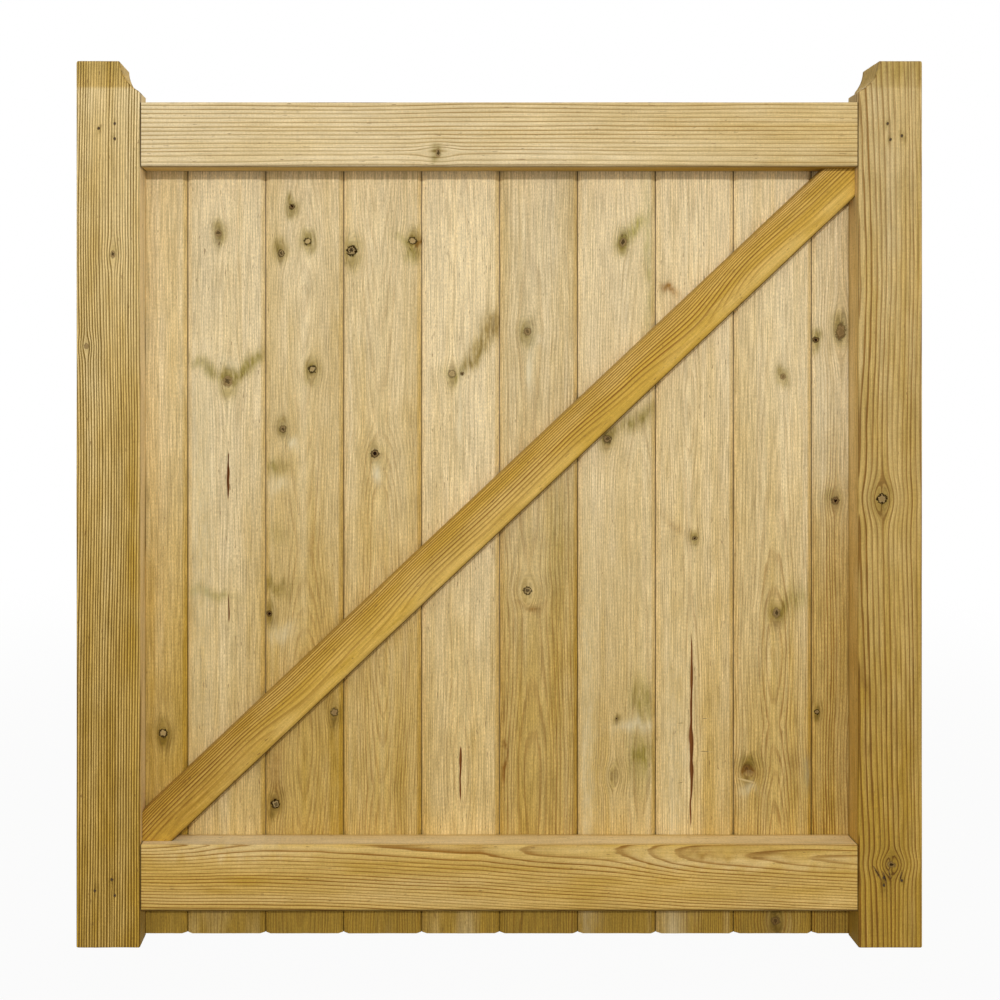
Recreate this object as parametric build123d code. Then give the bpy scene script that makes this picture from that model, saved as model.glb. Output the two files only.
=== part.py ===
"""Wooden garden gate leaf: framed, ledged and braced, with V-jointed matchboarding.

Millimetres. X runs across the gate from the hinge stile's outer edge to the latch stile's outer
edge, Z is up, and -Y is the side that shows the brace. The origin is the middle of the hinge
stile's outer edge.

Two stiles with coved horns carry a top rail and a thinner bottom rail on blind tenons. Stiles and
top rail are rebated at the back, and tongued and grooved boards lie in those rebates, run down
behind the bottom rail and stop just above the foot of the stiles. A brace on the face of the
boards is cut two ways into opposite corners of the opening.
"""
from build123d import *
import os
from math import atan2, degrees, hypot

# The leaf
GATE_WIDTH = 900.0
FRAME_HEIGHT = 900.0            # foot of the stiles to the top of the top rail
HORN_HEIGHT = 44.0              # stiles above the top rail
FRAME_THICKNESS = 44.0

# Frame timber
STILE_WIDTH = 68.0
TOP_RAIL_HEIGHT = 69.0
BOTTOM_RAIL_HEIGHT = 71.0
BOTTOM_RAIL_CLEARANCE = 39.0    # underside of the bottom rail above the foot of the stiles
EASED_EDGE = 2.0                # radius on the long edges that hands meet
BOARD_SIDE_EDGE = 0.8           # radius on the edges beside the boards, at the back

# Coved horn, in the plane of the gate
HORN_TOP_WIDTH = 46.5           # flat top, from the stile's outer edge
COVE_DROP = 33.0                # height of the hollow, which leaves a short upright below it
HORN_CORNER = 3.0               # rounding of the two top corners

# Rebates that the boards lie in
REBATE_WIDTH = 12.0
REBATE_DEPTH = 15.0

# Blind mortise and tenon joints
TENON_LENGTH = 55.0
TENON_THICKNESS = 14.0
TENON_SHOULDER = 9.5            # above and below each tenon
TENON_SETBACK = 7.5             # front cheek, from the frame's front face
MORTISE_SPARE = 2.0             # glue space at the end of the tenon

# Brace
BRACE_WIDTH = 45.0
BRACE_THICKNESS = 19.0
BRACE_EASED_EDGE = 1.5

# Matchboards
BOARD_THICKNESS = 14.5
BOARD_PITCH = 85.0
FIRST_JOINT = 113.0             # first V-joint, from the hinge stile's outer edge
BOARD_COUNT = 10
BOARD_GAP = 0.8                 # open line at the bottom of each V
END_GAP = 1.0                   # between a board and the end of the rebate
BOARD_FOOT = 2.0                # boards' lower ends above the foot of the stiles
VEE_WIDTH = 5.0
VEE_DEPTH = 3.8
TONGUE_THICKNESS = 4.5
TONGUE_LENGTH = 6.5
TONGUE_NOSE = 1.0
GROOVE_THICKNESS = 4.8
GROOVE_DEPTH = 8.0

# Planes that follow from the sizes above
FRONT = -FRAME_THICKNESS / 2
BACK = FRAME_THICKNESS / 2
BOARD_FACE = BACK - REBATE_DEPTH
BOARD_BACK = BOARD_FACE + BOARD_THICKNESS
STILE_LENGTH = FRAME_HEIGHT + HORN_HEIGHT
FOOT = -STILE_LENGTH / 2
TOP_RAIL_TOP = FOOT + FRAME_HEIGHT
TOP_RAIL_UNDERSIDE = TOP_RAIL_TOP - TOP_RAIL_HEIGHT
BOTTOM_RAIL_UNDERSIDE = FOOT + BOTTOM_RAIL_CLEARANCE
BOTTOM_RAIL_TOP = BOTTOM_RAIL_UNDERSIDE + BOTTOM_RAIL_HEIGHT
OPENING_LEFT = STILE_WIDTH
OPENING_RIGHT = GATE_WIDTH - STILE_WIDTH


def block(x_range, y_range, z_range):
    """Box between two values along each axis."""
    size = [high - low for low, high in (x_range, y_range, z_range)]
    centre = [(low + high) / 2 for low, high in (x_range, y_range, z_range)]
    return Pos(*centre) * Box(*size)


def rounded_section(points, radii):
    """Closed outline with a radius at each corner, 0 where the corner stays sharp."""
    face = make_face(Polyline(*points, close=True))
    for (across, up), radius in zip(points, radii):
        if radius > 0:
            corner = face.vertices().sort_by_distance((across, up, 0))[0]
            face = fillet(corner, radius)
    return face


def along_x(section, start, length):
    """Extrude a section drawn as (Y, Z) along X."""
    plane = Plane(origin=(start, 0, 0), x_dir=(0, 1, 0), z_dir=(1, 0, 0))
    return extrude(plane * section, amount=length, dir=(1, 0, 0))


def tenon(rail_end, direction, underside, top):
    """Tenon that stands out of a rail's shoulder, towards -X or +X."""
    x_range = sorted((rail_end, rail_end + direction * TENON_LENGTH))
    y_range = (FRONT + TENON_SETBACK, FRONT + TENON_SETBACK + TENON_THICKNESS)
    return block(x_range, y_range, (underside + TENON_SHOULDER, top - TENON_SHOULDER))


def mortise(underside, top):
    """Blind mortise in the hinge stile for the rail between two heights."""
    bottom_of_mortise = STILE_WIDTH - TENON_LENGTH - MORTISE_SPARE
    y_range = (FRONT + TENON_SETBACK, FRONT + TENON_SETBACK + TENON_THICKNESS)
    z_range = (underside + TENON_SHOULDER, top - TENON_SHOULDER)
    return block((bottom_of_mortise, STILE_WIDTH), y_range, z_range)


def horn_waste():
    """What the saw takes off beside the horn: a hollow that ends above the rail."""
    horn_top = FOOT + STILE_LENGTH
    cove_width = STILE_WIDTH - HORN_TOP_WIDTH
    radius = (cove_width ** 2 + COVE_DROP ** 2) / (2 * cove_width)
    start = (HORN_TOP_WIDTH, horn_top)
    end = (STILE_WIDTH, horn_top - COVE_DROP)
    hollow = TangentArc([start, end], tangent=(0, -1))
    beyond = STILE_WIDTH + radius
    outline = hollow + Polyline(end, (beyond, end[1]), (beyond, horn_top), start)
    return extrude(Plane.XZ * make_face(outline), amount=FRAME_THICKNESS, both=True)


def hinge_stile():
    """Stile with a full-length rebate at the back, a coved horn and two mortises."""
    rebate_wall = STILE_WIDTH - REBATE_WIDTH
    points = [
        (0, FRONT),
        (STILE_WIDTH, FRONT),
        (STILE_WIDTH, BOARD_FACE),
        (rebate_wall, BOARD_FACE),
        (rebate_wall, BACK),
        (0, BACK),
    ]
    radii = [EASED_EDGE, EASED_EDGE, 0, 0, BOARD_SIDE_EDGE, EASED_EDGE]
    stile = Pos(0, 0, FOOT) * extrude(rounded_section(points, radii), amount=STILE_LENGTH, dir=(0, 0, 1))
    stile -= horn_waste()
    outer_top = stile.edges().filter_by(Axis.Y).sort_by(Axis.Z)[-2:]
    stile = fillet(outer_top, HORN_CORNER)
    stile -= mortise(TOP_RAIL_UNDERSIDE, TOP_RAIL_TOP)
    stile -= mortise(BOTTOM_RAIL_UNDERSIDE, BOTTOM_RAIL_TOP)
    return stile


def top_rail():
    """Rail rebated at its lower back edge, with the back cheek let into the stiles' rebates."""
    rebate_top = TOP_RAIL_UNDERSIDE + REBATE_WIDTH
    front_points = [
        (FRONT, TOP_RAIL_UNDERSIDE),
        (BOARD_FACE, TOP_RAIL_UNDERSIDE),
        (BOARD_FACE, TOP_RAIL_TOP),
        (FRONT, TOP_RAIL_TOP),
    ]
    back_points = [
        (BOARD_FACE, rebate_top),
        (BACK, rebate_top),
        (BACK, TOP_RAIL_TOP),
        (BOARD_FACE, TOP_RAIL_TOP),
    ]
    front_section = rounded_section(front_points, [EASED_EDGE, 0, 0, EASED_EDGE])
    back_section = rounded_section(back_points, [0, BOARD_SIDE_EDGE, EASED_EDGE, 0])
    clear_width = OPENING_RIGHT - OPENING_LEFT
    rail = along_x(front_section, OPENING_LEFT, clear_width)
    rail += along_x(back_section, OPENING_LEFT - REBATE_WIDTH, clear_width + 2 * REBATE_WIDTH)
    rail += tenon(OPENING_LEFT, -1, TOP_RAIL_UNDERSIDE, TOP_RAIL_TOP)
    rail += tenon(OPENING_RIGHT, 1, TOP_RAIL_UNDERSIDE, TOP_RAIL_TOP)
    return rail


def bottom_rail():
    """Thinner rail, flush with the stiles at the front, that the boards pass behind."""
    points = [
        (FRONT, BOTTOM_RAIL_UNDERSIDE),
        (BOARD_FACE, BOTTOM_RAIL_UNDERSIDE),
        (BOARD_FACE, BOTTOM_RAIL_TOP),
        (FRONT, BOTTOM_RAIL_TOP),
    ]
    section = rounded_section(points, [EASED_EDGE, 0, 0, EASED_EDGE])
    rail = along_x(section, OPENING_LEFT, OPENING_RIGHT - OPENING_LEFT)
    rail += tenon(OPENING_LEFT, -1, BOTTOM_RAIL_UNDERSIDE, BOTTOM_RAIL_TOP)
    rail += tenon(OPENING_RIGHT, 1, BOTTOM_RAIL_UNDERSIDE, BOTTOM_RAIL_TOP)
    return rail


def brace():
    """Diagonal from the hinge stile's foot, cut two ways into both corners of the opening."""
    run = OPENING_RIGHT - OPENING_LEFT
    rise = TOP_RAIL_UNDERSIDE - BOTTOM_RAIL_TOP
    length = hypot(run, rise) + 2 * BRACE_WIDTH
    bar = Box(length, BRACE_THICKNESS, BRACE_WIDTH)
    face_edges = bar.edges().filter_by(Axis.X).group_by(Axis.Y)[0]
    bar = fillet(face_edges, BRACE_EASED_EDGE)
    middle = (
        (OPENING_LEFT + OPENING_RIGHT) / 2,
        BOARD_FACE - BRACE_THICKNESS / 2,
        (BOTTOM_RAIL_TOP + TOP_RAIL_UNDERSIDE) / 2,
    )
    slope = degrees(atan2(rise, run))
    opening = block((OPENING_LEFT, OPENING_RIGHT), (FRONT, BACK), (BOTTOM_RAIL_TOP, TOP_RAIL_UNDERSIDE))
    return (Pos(*middle) * Rot(0, -slope, 0) * bar) & opening


def plain_edge(x):
    """Square edge of a cut board, front to back, where it lies in a stile's rebate."""
    return [(x, BOARD_FACE), (x, BOARD_BACK)]


def grooved_edge(x, inward):
    """V-jointed edge with the groove, front to back."""
    middle = (BOARD_FACE + BOARD_BACK) / 2
    groove = GROOVE_THICKNESS / 2
    return [
        (x + inward * VEE_WIDTH, BOARD_FACE),
        (x, BOARD_FACE + VEE_DEPTH),
        (x, middle - groove),
        (x + inward * GROOVE_DEPTH, middle - groove),
        (x + inward * GROOVE_DEPTH, middle + groove),
        (x, middle + groove),
        (x, BOARD_BACK - VEE_DEPTH),
        (x + inward * VEE_WIDTH, BOARD_BACK),
    ]


def tongued_edge(x, inward):
    """V-jointed edge with the tongue, front to back."""
    middle = (BOARD_FACE + BOARD_BACK) / 2
    tongue = TONGUE_THICKNESS / 2
    tip = x - inward * TONGUE_LENGTH
    return [
        (x + inward * VEE_WIDTH, BOARD_FACE),
        (x, BOARD_FACE + VEE_DEPTH),
        (x, middle - tongue),
        (tip + inward * TONGUE_NOSE, middle - tongue),
        (tip, middle - tongue + TONGUE_NOSE),
        (tip, middle + tongue - TONGUE_NOSE),
        (tip + inward * TONGUE_NOSE, middle + tongue),
        (x, middle + tongue),
        (x, BOARD_BACK - VEE_DEPTH),
        (x + inward * VEE_WIDTH, BOARD_BACK),
    ]


def board(index):
    """One matchboard, counted from the hinge stile, with its groove on the left."""
    rebate_left = OPENING_LEFT - REBATE_WIDTH
    rebate_right = OPENING_RIGHT + REBATE_WIDTH
    is_first = index == 0
    is_last = index == BOARD_COUNT - 1
    joint_left = FIRST_JOINT + (index - 1) * BOARD_PITCH
    joint_right = FIRST_JOINT + index * BOARD_PITCH
    if is_first:
        left = plain_edge(rebate_left + END_GAP)
    else:
        left = grooved_edge(joint_left + BOARD_GAP / 2, 1)
    if is_last:
        right = plain_edge(rebate_right - END_GAP)
    else:
        right = tongued_edge(joint_right - BOARD_GAP / 2, -1)
    section = make_face(Polyline(*left, *reversed(right), close=True))
    lower_end = FOOT + BOARD_FOOT
    upper_end = TOP_RAIL_UNDERSIDE + REBATE_WIDTH - END_GAP
    return Pos(0, 0, lower_end) * extrude(section, amount=upper_end - lower_end, dir=(0, 0, 1))


def gate():
    """Every piece of the leaf by name."""
    mid_width = Plane(origin=(GATE_WIDTH / 2, 0, 0), z_dir=(1, 0, 0))
    stile = hinge_stile()
    pieces = {
        "hinge_stile": stile,
        "latch_stile": mirror(stile, about=mid_width),
        "top_rail": top_rail(),
        "bottom_rail": bottom_rail(),
        "brace": brace(),
    }
    for index in range(BOARD_COUNT):
        pieces[f"board_{index + 1:02d}"] = board(index)
    return pieces


os.makedirs("parts", exist_ok=True)
for name, piece in gate().items():
    export_step(piece, f"parts/{name}.step")
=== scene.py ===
"""Looks of the wooden garden gate leaf: timber pieces, fixings, floor, light and camera.

Sizes in this file are millimetres unless a name says metres. Places on the gate are given as
x, from the hinge stile's outer edge, and height, above the foot of the stiles. Each piece of
timber also has its own directions: along the grain, across the grain in the plane of the gate,
and depth, which is the row frame's Y.
"""
from dataclasses import dataclass, field
from math import atan2, cos, hypot, pi, radians, sin

import bmesh
import bpy
import numpy as np
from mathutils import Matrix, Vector
from mathutils.geometry import delaunay_2d_cdt

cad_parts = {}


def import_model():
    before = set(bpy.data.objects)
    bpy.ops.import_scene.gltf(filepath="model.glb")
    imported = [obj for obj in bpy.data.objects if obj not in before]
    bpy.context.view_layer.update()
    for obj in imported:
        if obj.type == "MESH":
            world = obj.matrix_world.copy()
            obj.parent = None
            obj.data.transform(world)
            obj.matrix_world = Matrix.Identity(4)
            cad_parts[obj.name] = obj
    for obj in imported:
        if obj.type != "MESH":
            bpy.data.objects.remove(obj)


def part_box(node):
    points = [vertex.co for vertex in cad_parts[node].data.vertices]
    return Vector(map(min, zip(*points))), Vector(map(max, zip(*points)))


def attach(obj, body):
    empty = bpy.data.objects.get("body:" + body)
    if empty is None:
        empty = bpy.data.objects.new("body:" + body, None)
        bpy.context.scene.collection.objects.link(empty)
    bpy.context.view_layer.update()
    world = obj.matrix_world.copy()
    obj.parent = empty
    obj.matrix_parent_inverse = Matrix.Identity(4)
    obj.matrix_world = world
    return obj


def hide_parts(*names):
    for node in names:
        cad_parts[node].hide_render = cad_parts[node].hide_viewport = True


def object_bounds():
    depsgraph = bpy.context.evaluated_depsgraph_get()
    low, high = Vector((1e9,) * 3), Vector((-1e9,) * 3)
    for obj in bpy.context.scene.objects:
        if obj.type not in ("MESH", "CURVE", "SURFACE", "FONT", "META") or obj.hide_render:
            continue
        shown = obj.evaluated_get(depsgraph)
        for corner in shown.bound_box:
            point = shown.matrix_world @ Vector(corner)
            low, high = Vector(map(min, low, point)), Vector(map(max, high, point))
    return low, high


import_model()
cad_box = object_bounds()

METRE = 1000.0

# The leaf's own sizes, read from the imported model


def span(node, axis):
    """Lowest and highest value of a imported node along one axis, in millimetres."""
    low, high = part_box(node)
    return low[axis] * METRE, high[axis] * METRE


FOOT = span("hinge_stile", 2)[0]
STILE_LENGTH = span("hinge_stile", 2)[1] - FOOT
STILE_WIDTH = span("hinge_stile", 0)[1]
GATE_WIDTH = span("latch_stile", 0)[1]
FRONT, BACK = span("hinge_stile", 1)
BOARD_FACE, BOARD_BACK = span("board_02", 1)
BOARD_FOOT = span("board_02", 2)[0] - FOOT
BOARD_TOP = span("board_02", 2)[1] - FOOT
BOTTOM_RAIL = [value - FOOT for value in span("bottom_rail", 2)]
TOP_RAIL = [value - FOOT for value in span("top_rail", 2)]
OPENING = (STILE_WIDTH, GATE_WIDTH - STILE_WIDTH)
BRACE_FACE = span("brace", 1)[0]

# Profiles that the boxes above don't tell
REBATE_WIDTH = 12.0
REBATE_EDGE = 0.8
TENON_LENGTH = 55.0
TENON_SHOULDER = 9.5
TENON_FRONT = FRONT + 7.5
TENON_BACK = FRONT + 21.5
EASED_EDGE = 1.3
SHOULDER_GAP = 0.4
BRACE_WIDTH = 45.0
BRACE_EDGE = 1.5
HORN_TOP_WIDTH = 46.5
COVE_DROP = 33.0
COVE_EDGE = 1.4
HORN_CORNER = 3.0
HORN_INNER_CORNER = 2.0
HORN_TOP_TONE = 914.0
VEE_WIDTH = 5.0
VEE_DEPTH = 3.8
TONGUE_LENGTH = 6.5
TONGUE_HALF = 2.25
GROOVE_DEPTH = 8.0
GROOVE_HALF = 2.4
ON_FACE = 0.01              # how near a face a point counts as lying on it
SHARP_ANGLE = 38            # degrees, above which an edge isn't smoothed over
HEAD_SHARP_ANGLE = 50

UPRIGHT = ((1.0, 0.0), (0.0, 1.0))
LEVEL = ((0.0, 1.0), (1.0, 0.0))

# Pins through the tenons, as (x, height)
TENON_PINS = [
    (24, 872), (41, 877), (41, 861),
    (863, 877), (866, 860), (878, 864),
    (20, 61), (38, 73), (41, 56),
    (859, 75), (859, 67), (878, 72),
]

# Colours, as linear red, green and blue
CREAM = (0.75, 0.615, 0.37)
STRAW = (0.67, 0.515, 0.25)
HONEY = (0.58, 0.405, 0.132)
OCHRE = (0.465, 0.290, 0.040)
LATE_WOOD = (0.44, 0.29, 0.13)
STRONG_LINES = (0.25, 0.20, 0.055)
OLIVE = (0.52, 0.54, 0.26)
BROWN = (0.46, 0.31, 0.13)
# pale tint, also used for a few painted highlights
PALE_AND_HIGHLIGHT = (0.80, 0.73, 0.50)
RESIN = (0.16, 0.075, 0.025)
# pale knot wood, also used for one painted highlight streak
KNOT_PALE_AND_HIGHLIGHT = (0.60, 0.44, 0.19)
KNOT_BROWN = (0.17, 0.08, 0.018)
KNOT_CORE = (0.014, 0.006, 0.002)
KNOT_RIM = (0.022, 0.011, 0.002)
HEARTWOOD = (0.21, 0.075, 0.020)
# Painted shadow at the joints and along lower front edges, with some dirt in the V joints
JOINT_SHADOW_AND_DIRT = (0.055, 0.028, 0.007)
END_GRAIN = (0.62, 0.55, 0.42)
PIN_COLOURS = ((0.05, 0.036, 0.025), (0.03, 0.016, 0.008))
NAIL_COLOURS = ((0.42, 0.42, 0.41), (0.20, 0.12, 0.07))
FLOOR_COLOUR = (0.30, 0.28, 0.25)
AMBIENT_COLOUR = (1.0, 0.95, 0.86)
LAMP_COLOUR = (1, 0.98, 0.94)
WHITE = (1, 1, 1)

# A knot, in its own radii: where its dark middle and its own wood fade, and how its outline runs
CORE_FADE = (0.62, 0.42)
WOOD_FADE = (1.02, 0.9)
RIM_PLACE = 0.90
RIM_STRENGTH = 1.45
RIM_FADE = 4.5

# Contrast of the long fibres and of the short pores
STILE_FIBRE = (0.15, 0.08)
RAIL_FIBRE = (0.09, 0.06)
BOARD_FIBRE = (0.20, 0.12)

# Changes of tone within a piece, as (amount, pattern, width of its features along each axis)
RIPE_CHANGES = ((0.10, 31, (5, 7, 160)), (0.16, 32, (17, 17, 190)), (0.07, 33, (12, 12, 30)))
SHADE_CHANGES = ((0.03, 34, (5, 6, 120)), (0.05, 35, (24, 24, 80)))

# Lamps, as (name, place in metres, width, power, colour), and the light from all round
LAMPS = [
    ("key", (0.62, -4.0, 1.62), 0.12, 75, WHITE),
    ("wide_right", (1.75, -2.9, 0.56), 1.8, 17, LAMP_COLOUR),
    ("wide_left", (-1.15, -3.0, 0.62), 1.8, 15, LAMP_COLOUR),
    ("behind_right", (1.9, 2.9, 1.5), 1.2, 34, LAMP_COLOUR),
    ("behind_left", (-1.1, 3.0, 1.2), 1.8, 26, LAMP_COLOUR),
]
AMBIENT = 0.41

# Camera, measured from the gate's left edge, its foot and its front face
CAMERA_X = 344.4
CAMERA_HEIGHT = 609.6
CAMERA_DISTANCE = 1274.0
SENSOR_WIDTH = 36.0
LENS = 43.13
SHIFT_X = 0.100
SHIFT_Y = -0.125


# Descriptions of the timber


@dataclass
class Knot:
    """A branch that shows on the face, at x and height."""
    x: float
    height: float
    radius: float
    longer: float = 1.0     # length over width
    tilt: float = 0.0       # degrees, from upright
    core: float = 0.8       # how dark its middle is
    rim: float = 0.8        # how dark its outline is
    body: float = 0.6       # 0 for pale wood inside the outline, 1 for brown
    flow: float = 1.2       # how far the grain swings round it, in radii
    halo: float = 0.8       # olive and brown tint round it
    fill: float = 0.85      # how much its own wood covers the board's


@dataclass
class Patch:
    """A soft patch of tint, mostly staining and in a few pale places a painted highlight: its middle, its
    half length and half width, and the turn of its length from level.
    """
    x: float
    height: float
    length: float
    width: float
    turn: float = 0.0
    olive: float = 0.0
    brown: float = 0.0
    pale: float = 0.0
    ripe: float = 0.0


@dataclass
class Crack:
    """Drying cracks in one line along the grain, as (lowest, highest, width, depth) runs."""
    x: float
    runs: list
    seed: int = 0


@dataclass
class Grain:
    """Growth rings: where the pith ran beside the piece, and how wide the rings are."""
    pith: float                 # across the grain
    pith_depth: list            # (along, depth behind the face) pairs
    ring_width: float
    lines: tuple                # how dark the late wood is at the start and the end
    lean: float = 0.0           # how far the rings lean across, over a metre
    wander: float = 3.0         # slow sideways drift
    fray: float = 0.2           # how ragged the lines are, in rings
    over_pith: float = 0.35     # how plain the lines are right over the pith, from 0 to 1
    seed: int = 0


@dataclass
class Timber:
    """One piece of timber."""
    node: str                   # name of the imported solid
    slot: str
    section: list
    start: float
    end: float
    grain: Grain
    ripe: tuple                 # tone at the start and the end, from 0 for cream to 1 for ochre
    shade: float
    axes: tuple = UPRIGHT
    middle: tuple = (0.0, 0.0)
    knots: list = field(default_factory=list)
    patches: list = field(default_factory=list)
    cracks: list = field(default_factory=list)
    cuts: list = field(default_factory=list)
    horn_side: int = 0          # 1 for the hinge stile, -1 for the latch stile
    shoulders: tuple = ()       # where the part in front of the boards ends, if it's shorter
    tenons: list = field(default_factory=list)
    matched: bool = False       # has the boards' V joints
    late_colour: tuple = LATE_WOOD
    late_start: float = 0.62        # share of a ring at which its dark wood starts
    fibre: tuple = STILE_FIBRE
    # The second value of the next field is painted light and shade: it lightens or darkens those sides for
    # the light that falls on them
    flank: tuple = (0.0, 1.0)       # added ripeness, and shade, of the sides round the opening
    end_round: float = 0.8
    # Painted shadow: the next value darkens the lower front edge as if shade fell under it
    under_edge: float = 0.0         # how dark its lower front edge is


# Noise and small geometry helpers


def soft_noise(points, size, seed):
    """Smooth noise from -1 to 1. size is the width of its features along each axis."""
    lattice_size = 32
    lattice = np.random.default_rng(seed).uniform(-1, 1, (lattice_size,) * 3)
    scaled = np.asarray(points) / np.asarray(size)
    cell = np.floor(scaled).astype(int)
    part = scaled - cell
    part = part * part * (3 - 2 * part)
    total = np.zeros(len(scaled))
    for corner in np.ndindex(2, 2, 2):
        weight = np.prod(np.where(corner, part, 1 - part), axis=1)
        index = (cell + corner) % lattice_size
        total += lattice[index[:, 0], index[:, 1], index[:, 2]] * weight
    return total


def line_noise(values, size, seed):
    """The same for one coordinate."""
    values = np.asarray(values, float)
    points = np.stack([values, np.zeros_like(values), np.zeros_like(values)], axis=1)
    return soft_noise(points, (size, 1, 1), seed)


def own_noise(timber, points, pattern, size):
    """Soft noise that is a piece's own, in one of several patterns."""
    return soft_noise(points, size, timber.grain.seed + pattern)


def subdivided(points, steps):
    """A closed loop of points with each side cut into pieces no longer than its step."""
    loop = []
    for number, (start, step) in enumerate(zip(points, steps)):
        end = points[(number + 1) % len(points)]
        pieces = max(1, round(hypot(end[0] - start[0], end[1] - start[1]) / step))
        for piece in range(pieces):
            share = piece / pieces
            loop.append((start[0] + (end[0] - start[0]) * share, start[1] + (end[1] - start[1]) * share))
    return loop


def eased(points, radii, facets=4):
    """A closed outline with its corners rounded by the radii given."""
    outline = []
    count = len(points)
    for number, radius in enumerate(radii):
        corner = Vector(points[number])
        if radius == 0:
            outline.append(tuple(corner))
            continue
        before = (Vector(points[number - 1]) - corner).normalized()
        after = (Vector(points[(number + 1) % count]) - corner).normalized()
        centre = corner + (before + after) * radius
        for facet in range(facets + 1):
            turn = radians(90 * facet / facets)
            outline.append(tuple(centre - after * radius * cos(turn) - before * radius * sin(turn)))
    return outline


def inside(points, outline):
    """Which points lie inside a closed outline."""
    result = np.zeros(len(points), bool)
    for start, end in zip(outline, np.roll(outline, -1, axis=0)):
        crosses = (start[1] > points[:, 1]) != (end[1] > points[:, 1])
        rise = np.where(end[1] == start[1], 1e-9, end[1] - start[1])
        at = start[0] + (points[:, 1] - start[1]) * (end[0] - start[0]) / rise
        result ^= crosses & (points[:, 0] < at)
    return result


def cap_faces(loop, margin, spacing=4.0):
    """Points inside a section, clear of its rim, and the triangles that fill it.

    The triangles number the loop's points first and then those inside.
    """
    outline = np.array(loop)
    low, high = outline.min(0), outline.max(0)
    columns, rows = [np.arange(low[axis] + margin, high[axis] - margin, spacing) for axis in (0, 1)]
    grid = np.stack(np.meshgrid(columns, rows), -1).reshape(-1, 2)
    near = np.linalg.norm(grid[:, None] - outline[None], axis=2).min(1) < margin
    inner = grid[inside(grid, outline) & ~near]
    points = [Vector(point) for point in np.concatenate([outline, inner])]
    border = list(range(len(loop)))
    result = delaunay_2d_cdt(points, [], [border], 1, 1e-5)
    if len(result[0]) != len(points):
        raise ValueError("a section crosses itself")
    return inner, [tuple(face) for face in result[2]]


# Sections of the timber, as loops of (across, depth)


def board_steps(outline, step=2.2):
    """A fine step on the sides that face the front, and a coarser one elsewhere."""
    steps = []
    for number, start in enumerate(outline):
        end = outline[(number + 1) % len(outline)]
        level = abs(start[1] - end[1]) < ON_FACE
        front = level and start[1] < BOARD_FACE + 1 and abs(start[0] - end[0]) > 10
        steps.append(step if front else 2.5 * step)
    return steps


def stile_section(side):
    """Rebated stile: side is 1 for the hinge stile, -1 for the latch stile."""
    rebate_wall = STILE_WIDTH - REBATE_WIDTH
    points = [
        (0, FRONT),
        (STILE_WIDTH, FRONT),
        (STILE_WIDTH, BOARD_FACE),
        (rebate_wall, BOARD_FACE),
        (rebate_wall, BACK),
        (0, BACK),
    ]
    outline = eased(points, [EASED_EDGE, EASED_EDGE, 0, 0, REBATE_EDGE, EASED_EDGE])
    if side < 0:
        outline = [(GATE_WIDTH - x, depth) for x, depth in reversed(outline)]
    return outline


def top_rail_section():
    """Rail that is rebated at its lower back edge."""
    low, high = TOP_RAIL
    points = [
        (low, FRONT),
        (high, FRONT),
        (high, BACK),
        (low + REBATE_WIDTH, BACK),
        (low + REBATE_WIDTH, BOARD_FACE),
        (low, BOARD_FACE),
    ]
    return eased(points, [EASED_EDGE, EASED_EDGE, EASED_EDGE, REBATE_EDGE, 0, 0])


def plain_section(low, high, face, edge):
    """Bottom rail or brace, which lies in front of the boards and is eased at its two front edges."""
    points = [(low, face), (high, face), (high, BOARD_FACE), (low, BOARD_FACE)]
    return eased(points, [edge, edge, 0, 0])


def vee(edge, inward):
    """The points of a board's front V, from the face over its eased shoulder to the bottom."""
    profile = [
        (VEE_WIDTH + 0.9, 0.0),
        (VEE_WIDTH + 0.15, 0.0),
        (VEE_WIDTH - 0.25, 0.15),
        (0.35, VEE_DEPTH - 0.3),
        (0.0, VEE_DEPTH + 0.2),
    ]
    return [(edge + inward * reach, BOARD_FACE + fall) for reach, fall in profile]


def board_edge(edge, inward, lock):
    """A board's edge from front to back, with a lock, tongue or groove, given as (x, half thickness)."""
    middle = (BOARD_FACE + BOARD_BACK) / 2
    front = vee(edge, inward) + [(x, middle - half) for x, half in lock]
    return front + [(x, BOARD_FACE + BOARD_BACK - depth) for x, depth in reversed(front)]


def board_section(number, count):
    """Matchboard with a groove on the left and a tongue on the right; the outer two are cut square."""
    low, high = span(f"board_{number:02d}", 0)
    shoulder = high - TONGUE_LENGTH
    left = [(low, BOARD_FACE), (low, BOARD_BACK)]
    right = [(high, BOARD_FACE), (high, BOARD_BACK)]
    if number > 1:
        left = board_edge(low, 1, [(low, GROOVE_HALF), (low + GROOVE_DEPTH, GROOVE_HALF)])
    if number < count:
        tongue = [(shoulder, TONGUE_HALF), (high - 1, TONGUE_HALF), (high, TONGUE_HALF - 1)]
        right = board_edge(shoulder, -1, tongue)
    return left[::-1] + right


# The growth rings, staining, and painted light and shade, as numbers at points of the timber


def local_place(timber, x, height):
    """Place across and along a piece's grain of a point given by x and height."""
    (ax, ah), (lx, lh) = timber.axes
    mx, mh = timber.middle
    return (x - mx) * ax + (height - mh) * ah, (x - mx) * lx + (height - mh) * lh


def swung_across(timber, across, along):
    """Place across the grain after the fibres have been led round the knots."""
    result = across.copy()
    for knot in timber.knots:
        centre, at = local_place(timber, knot.x, knot.height)
        sideways = (across - centre) / knot.radius
        lengthways = (along - at) / (knot.radius * knot.longer)
        fade = np.exp(-(lengthways / 3.6) ** 2) / (1 + (sideways / 2.6) ** 2)
        result -= knot.flow * knot.radius * np.tanh(sideways * 1.4) * fade
    return result


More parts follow.
